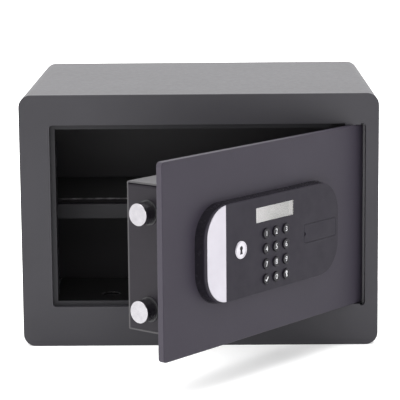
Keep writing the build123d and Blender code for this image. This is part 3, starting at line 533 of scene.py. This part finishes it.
# The door's free side gets a painted highlight.
door_paint = powder_coat("door_paint", (0.0245, 0.0210, 0.0298), (0.0300, 0.0262, 0.0360), WORN_PAINT,
                         gloss=0.105, lit_free_side=(0.050, 0.045, 0.057))
case_paint = powder_coat("case_paint", (0.022, 0.020, 0.0235), (0.027, 0.025, 0.0285),
                         (0.030, 0.028, 0.032), gloss=0.55)
chassis_paint = powder_coat("chassis_paint", (0.0095, 0.0074, 0.0115), (0.0125, 0.0102, 0.0147),
                            (0.04, 0.038, 0.042), gloss=0.20, wear=0.4)
rear_paint = powder_coat("rear_paint", (0.0275, 0.0250, 0.0290), (0.0345, 0.0315, 0.0360), WORN_PAINT)
# Painted light: the hinge channel, seen only through the narrow hinge gap where little light reaches, is painted
# pale grey so the gap reads lighter.
channel_painted_light = powder_coat("channel_painted_light", (0.095, 0.092, 0.100), (0.125, 0.121, 0.131),
                           (0.16, 0.16, 0.17), gloss=0.3, wear=0.3)

paint_nodes(cabinet_paint, "cabinet_shell", "shelf", "shelf_bracket_left", "shelf_bracket_right")
paint_nodes(rear_paint, "rear_panel")
paint_nodes(channel_painted_light, "hinge_channel")
paint_nodes(recess_shade_paint, "stop_frame", "bolt_keeper")
paint_nodes(frame_paint, "front_frame", "hinge_block_upper", "hinge_block_lower")
paint_nodes(door_paint, "door_plate", "hinge_bar")
paint_nodes(case_paint, "case_cover")
paint_nodes(chassis_paint, "lock_chassis")

fascia_face_plastic = moulded("fascia_face_plastic", (0.0105, 0.0086, 0.0143), (0.0135, 0.0114, 0.0178),
                              (0.44, 0.54), grain_depth=0.000010, grain=0.0006, specular=0.11)
fascia_side_plastic = moulded("fascia_side_plastic", (0.007, 0.006, 0.009), (0.010, 0.009, 0.012),
                              (0.18, 0.30), grain_depth=0.000004, grain=0.002, specular=0.2)
key_plastic = moulded("key_plastic", (0.0055, 0.0045, 0.0075), (0.0085, 0.0075, 0.0105),
                      (0.22, 0.32), grain_depth=0.000003, grain=0.002, specular=0.15)
nylon = moulded("nylon", (0.016, 0.016, 0.018), (0.024, 0.024, 0.026), (0.45, 0.6), grain_depth=0.00002)
silicone = moulded("silicone", (0.045, 0.045, 0.05), (0.06, 0.06, 0.066), (0.6, 0.75), grain_depth=0.000012)

paint_nodes(fascia_face_plastic, "fascia_face", "emergency_cover")
paint_nodes(fascia_side_plastic, "fascia_housing")
paint_nodes(key_plastic, *KEY_SYMBOLS)
paint_nodes(nylon, "bolt_bushes", "battery_tray", "battery_cover", "reset_button")
paint_nodes(silicone, "keypad_mat")

zinc = metal("zinc", (0.52, 0.52, 0.53), (0.66, 0.66, 0.67), (0.28, 0.42))
brass = metal("brass", (0.62, 0.45, 0.19), (0.78, 0.58, 0.28), (0.22, 0.36))
trim_metal = metal("trim_metal", (0.355, 0.341, 0.374), (0.369, 0.355, 0.390), (0.38, 0.44),
                   line=(0.03, 0.0004, 0.03), turn=DOOR_TURN, depth=0.000003)
badge_metal = turned_metal("badge_chrome", (0.360, 0.347, 0.376), (0.395, 0.382, 0.411), (0.20, 0.32),
                           center=row_middle("badge"), axis=OUTWARD)

paint_nodes(zinc, "hinge_pin_upper", "hinge_pin_lower", "case_screws", "fascia_screws", "gear_motor",
            "motor_bracket", "bolt_carriage")
paint_nodes(brass, "override_cylinder", "override_plug", "drive_pinion")
for bolt in ("bolt_upper", "bolt_lower"):
    bolt_metal = turned_metal(bolt + "_chrome", (0.290, 0.281, 0.297), (0.324, 0.315, 0.331), (0.16, 0.26),
                              center=row_middle(bolt), axis=TO_FREE_EDGE, ring=0.0006, depth=0.000006)
    paint_nodes(bolt_metal, bolt)
paint_nodes(trim_metal, "fascia_trim")
paint_nodes(badge_metal, "badge")
paint_nodes(lcd_glass(), "lcd_module")
paint_nodes(clear_window(), "display_lens")
paint_nodes(circuit_board(), "control_board", "keypad_board")
paint_nodes(ribbon(), "ribbon_cable")
paint_nodes(battery_wrap(), "battery_1", "battery_2", "battery_3", "battery_4")
# The felt's upper cut edges carry a painted highlight.
mat_felt = felt("mat_felt", (0.007, 0.006, 0.007), (0.018, 0.0165, 0.0185), (0.50, 0.47, 0.50))

symbol_ink = moulded("symbol_ink", (0.52, 0.52, 0.54), (0.60, 0.60, 0.62), (0.4, 0.55),
                     grain_depth=0.000004)
for key_name, key_symbol in KEY_SYMBOLS.items():
    key_print(key_name, key_symbol, symbol_ink)


# ---- felt mats ----
MAT_CELL = 12 * MM
MAT_WAVE, MAT_WAVE_LENGTH = 0.25 * MM, 30 * MM
MAT_WELD = 0.01 * MM
HOLE_CLEARANCE = 4 * MM


def closed_spline(curve, points):
    """Adds a closed outline to a curve."""
    spline = curve.splines.new("POLY")
    spline.points.add(len(points) - 1)
    for point, (x, y) in zip(spline.points, points):
        point.co = (x, y, 0, 1)
    spline.use_cyclic_u = True


def rounded_loop(low, high, radius, count=6):
    """Points round a rectangle in the floor plane whose corners are arcs."""
    loop = []
    corners = ((high.x - radius, high.y - radius), (low.x + radius, high.y - radius),
               (low.x + radius, low.y + radius), (high.x - radius, low.y + radius))
    for turn, (x, y) in enumerate(corners):
        loop += arc_points(x, y, radius, count, turn * math.pi / 2, math.pi / 2)
    return loop


def felt_mat(node, corner, rim, holes=()):
    """A felt mat in the space of its CAD solid: soft cut edges, a slightly uneven top, bolt holes.

    corner is the radius of its corners, and rim is the radius of its cut edges.
    """
    low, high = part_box(node)
    inset_low, inset_high = low + Vector((rim, rim, 0)), high - Vector((rim, rim, 0))
    curve = bpy.data.curves.new(node, "CURVE")
    curve.dimensions = "2D"
    curve.fill_mode = "BOTH"
    closed_spline(curve, rounded_loop(inset_low, inset_high, corner))
    for x, y, radius in holes:
        closed_spline(curve, arc_points(x, y, radius + rim, 32)[:-1])
    curve.extrude = (high.z - low.z) / 2 - rim
    curve.bevel_depth = rim
    curve.bevel_resolution = 2
    maker = bpy.data.objects.new("mat_maker", curve)
    bpy.context.scene.collection.objects.link(maker)
    bpy.context.view_layer.update()
    mesh = bpy.data.meshes.new_from_object(maker)
    bpy.data.objects.remove(maker)
    mesh.transform(Matrix.Translation((0, 0, (low.z + high.z) / 2)))
    shape = bmesh.new()
    shape.from_mesh(mesh)
    bmesh.ops.remove_doubles(shape, verts=shape.verts, dist=MAT_WELD)
    for axis in (0, 1):
        count = int((high[axis] - low[axis]) / MAT_CELL)
        for i in range(1, count):
            place, normal = Vector((0, 0, 0)), Vector((0, 0, 0))
            place[axis] = low[axis] + (high[axis] - low[axis]) * i / count
            normal[axis] = 1
            everything = list(shape.verts) + list(shape.edges) + list(shape.faces)
            bmesh.ops.bisect_plane(shape, geom=everything, plane_co=place, plane_no=normal)
    for vertex in shape.verts:
        if vertex.co.z > (low.z + high.z) / 2:
            vertex.co.z -= MAT_WAVE * (1 + noise.noise(vertex.co / MAT_WAVE_LENGTH))
    bmesh.ops.recalc_face_normals(shape, faces=shape.faces)
    shape.to_mesh(mesh)
    shape.free()
    piece = add_piece(node + "_felt", mesh, mat_felt, "cabinet")
    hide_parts(node)
    return piece


def floor_holes():
    """Centre and radius of the felt's holes over the floor anchors."""
    mount = next(mount for mount in RECORD["mounts"] if mount["name"] == "floor_bolts")
    dims = mount["dims"]
    reach_x, reach_y = dims["spacing_x_mm"] * MM / 2, dims["spacing_y_mm"] * MM / 2
    radius = dims["hole_r_mm"] * MM + HOLE_CLEARANCE
    return [(mount["pos_m"][0] + x, mount["pos_m"][1] + y, radius)
            for x in (-reach_x, reach_x) for y in (-reach_y, reach_y)]


anchor_holes = floor_holes()
floor_felt = felt_mat("floor_mat", corner=5 * MM, rim=0.8 * MM, holes=anchor_holes)
shelf_felt = felt_mat("shelf_mat", corner=2 * MM, rim=1.4 * MM)


# ---- badge ----
# Outlines in millimetres about the badge's middle.
RIM_IN, RIM_OUT, RIM_STEPS = 6.7, 7.3, 48
RIM_HEIGHT = 0.22 * MM
KEYHOLE_Y, KEYHOLE_R, KEYHOLE_STEPS = 1.5, 2.1, 24
KEYHOLE_LOW, KEYHOLE_LOW_HALF = -4.0, 1.9
KEYHOLE_NECK, KEYHOLE_NECK_HALF = 1.4, 0.85


def badge_piece(name, flat, material, height):
    """A flat shape standing on the badge's face."""
    low, high = door_box("badge")
    mesh = thickened(flat, lambda x, y: 0.0, height)
    center = (low + high) / 2
    mesh.transform(DOOR @ Matrix.Translation((center.x, low.y, center.z)))
    return add_piece(name, mesh, material, "door")


rim = ring_faces(0, 0, RIM_IN, RIM_OUT, RIM_STEPS)
badge_piece("badge_rim", flat_mesh(rim), badge_metal, RIM_HEIGHT)
keyhole = [arc_points(0, KEYHOLE_Y, KEYHOLE_R, KEYHOLE_STEPS)[:-1],
           [(-KEYHOLE_LOW_HALF, KEYHOLE_LOW), (KEYHOLE_LOW_HALF, KEYHOLE_LOW),
            (KEYHOLE_NECK_HALF, KEYHOLE_NECK), (-KEYHOLE_NECK_HALF, KEYHOLE_NECK)]]
badge_piece("badge_keyhole", flat_mesh(keyhole), key_plastic, INK)


# ---- studio ----
FLOOR_HALF = 14.0
FLOOR_GLOW = 0.24
# Brightness of the surroundings, and where along Y and Z it changes.
WORLD_FRONT = 0.18
WORLD_BACK = 1.60
WORLD_TOP = 1.5
BACK_FADE = (-0.8, 0.4)
TOP_FADE = (0.45, 0.95)


def studio_floor():
    """A wide sheet of pale paper that glows a little."""
    mesh = bpy.data.meshes.new("studio_floor")
    corners = [(-FLOOR_HALF, -FLOOR_HALF, 0), (FLOOR_HALF, -FLOOR_HALF, 0),
               (FLOOR_HALF, FLOOR_HALF, 0), (-FLOOR_HALF, FLOOR_HALF, 0)]
    mesh.from_pydata(corners, [], [(0, 1, 2, 3)])
    floor = bpy.data.objects.new("studio_floor", mesh)
    bpy.context.scene.collection.objects.link(floor)
    finish = Finish("floor_paper", {"Roughness": 0.9, "Specular IOR Level": 0.1,
                                    "Emission Color": (1, 1, 1, 1), "Emission Strength": FLOOR_GLOW})
    finish.drive("Base Color", finish.shades(finish.noise(0.4, 3.0), (0.92, 0.92, 0.92), (0.95, 0.95, 0.95)))
    mesh.materials.append(finish.material)


def area_light(name, place, target, width, height, power):
    """A rectangular lamp at place, turned towards target."""
    light = bpy.data.lights.new(name, "AREA")
    light.shape = "RECTANGLE"
    light.size = width
    light.size_y = height
    light.energy = power
    lamp = bpy.data.objects.new(name, light)
    bpy.context.scene.collection.objects.link(lamp)
    lamp.location = place
    lamp.rotation_euler = (Vector(target) - Vector(place)).to_track_quat("-Z", "Y").to_euler()


def studio_world():
    """White surroundings: dim in front of the object, brighter behind it, brightest overhead."""
    world = bpy.data.worlds.new("studio")
    bpy.context.scene.world = world
    world.use_nodes = True
    nodes, links = world.node_tree.nodes, world.node_tree.links
    where = nodes.new("ShaderNodeTexCoord")
    parts = nodes.new("ShaderNodeSeparateXYZ")
    links.new(where.outputs["Generated"], parts.inputs["Vector"])
    ramps = []
    for axis, start, end, low, high in (("Y", *BACK_FADE, WORLD_FRONT, WORLD_BACK),
                                        ("Z", *TOP_FADE, 0.0, WORLD_TOP)):
        ramp = nodes.new("ShaderNodeMapRange")
        links.new(parts.outputs[axis], ramp.inputs["Value"])
        ramp.inputs["From Min"].default_value = start
        ramp.inputs["From Max"].default_value = end
        ramp.inputs["To Min"].default_value = low
        ramp.inputs["To Max"].default_value = high
        ramps.append(ramp)
    total = nodes.new("ShaderNodeMath")
    links.new(ramps[0].outputs["Result"], total.inputs[0])
    links.new(ramps[1].outputs["Result"], total.inputs[1])
    background = nodes["Background"]
    background.inputs["Color"].default_value = (1, 1, 1, 1)
    links.new(total.outputs[0], background.inputs["Strength"])


# In metres and radians; the lens and the sensor are in millimetres.
CAMERA_PLACE = Vector((0.0209, -1.9930, 0.4697))
CAMERA_PITCH = math.radians(9.96)
CAMERA_YAW = math.radians(0.63)
CAMERA_ROLL = math.radians(-0.50)
CAMERA_LENS = 172.35
CAMERA_SENSOR = 36.0


def studio_camera():
    """Long-lens view from in front, a little above, square to the cabinet."""
    forward = Vector((-math.sin(CAMERA_YAW) * math.cos(CAMERA_PITCH),
                      math.cos(CAMERA_YAW) * math.cos(CAMERA_PITCH), -math.sin(CAMERA_PITCH)))
    level = Vector((math.cos(CAMERA_YAW), math.sin(CAMERA_YAW), 0))
    upward = level.cross(forward)
    right = math.cos(CAMERA_ROLL) * level + math.sin(CAMERA_ROLL) * upward
    top = math.cos(CAMERA_ROLL) * upward - math.sin(CAMERA_ROLL) * level
    lens = bpy.data.cameras.new("studio_camera")
    lens.lens = CAMERA_LENS
    lens.sensor_width = CAMERA_SENSOR
    lens.clip_start = 0.05
    lens.clip_end = 60.0
    camera = bpy.data.objects.new("studio_camera", lens)
    bpy.context.scene.collection.objects.link(camera)
    turn = Matrix((right, top, -forward)).transposed().to_4x4()
    camera.matrix_world = Matrix.Translation(CAMERA_PLACE) @ turn
    bpy.context.scene.camera = camera


studio_floor()
studio_world()
studio_camera()
area_light("overhead_light", (0.0, 0.1, 2.2), target=(0, 0, 0.1), width=2.2, height=2.2, power=38.0)
area_light("key_light", (-1.25, -1.5, 1.9), target=(0, -0.1, 0.12), width=1.8, height=1.8, power=15.0)
area_light("fill_light", (-0.15, -2.7, 0.75), target=(0, 0.1, 0.12), width=1.2, height=1.0, power=16.0)
area_light("side_light", (1.9, -1.3, 0.6), target=(0.1, -0.2, 0.12), width=1.2, height=1.0, power=5.0)
bpy.context.scene.view_settings.view_transform = "Standard"
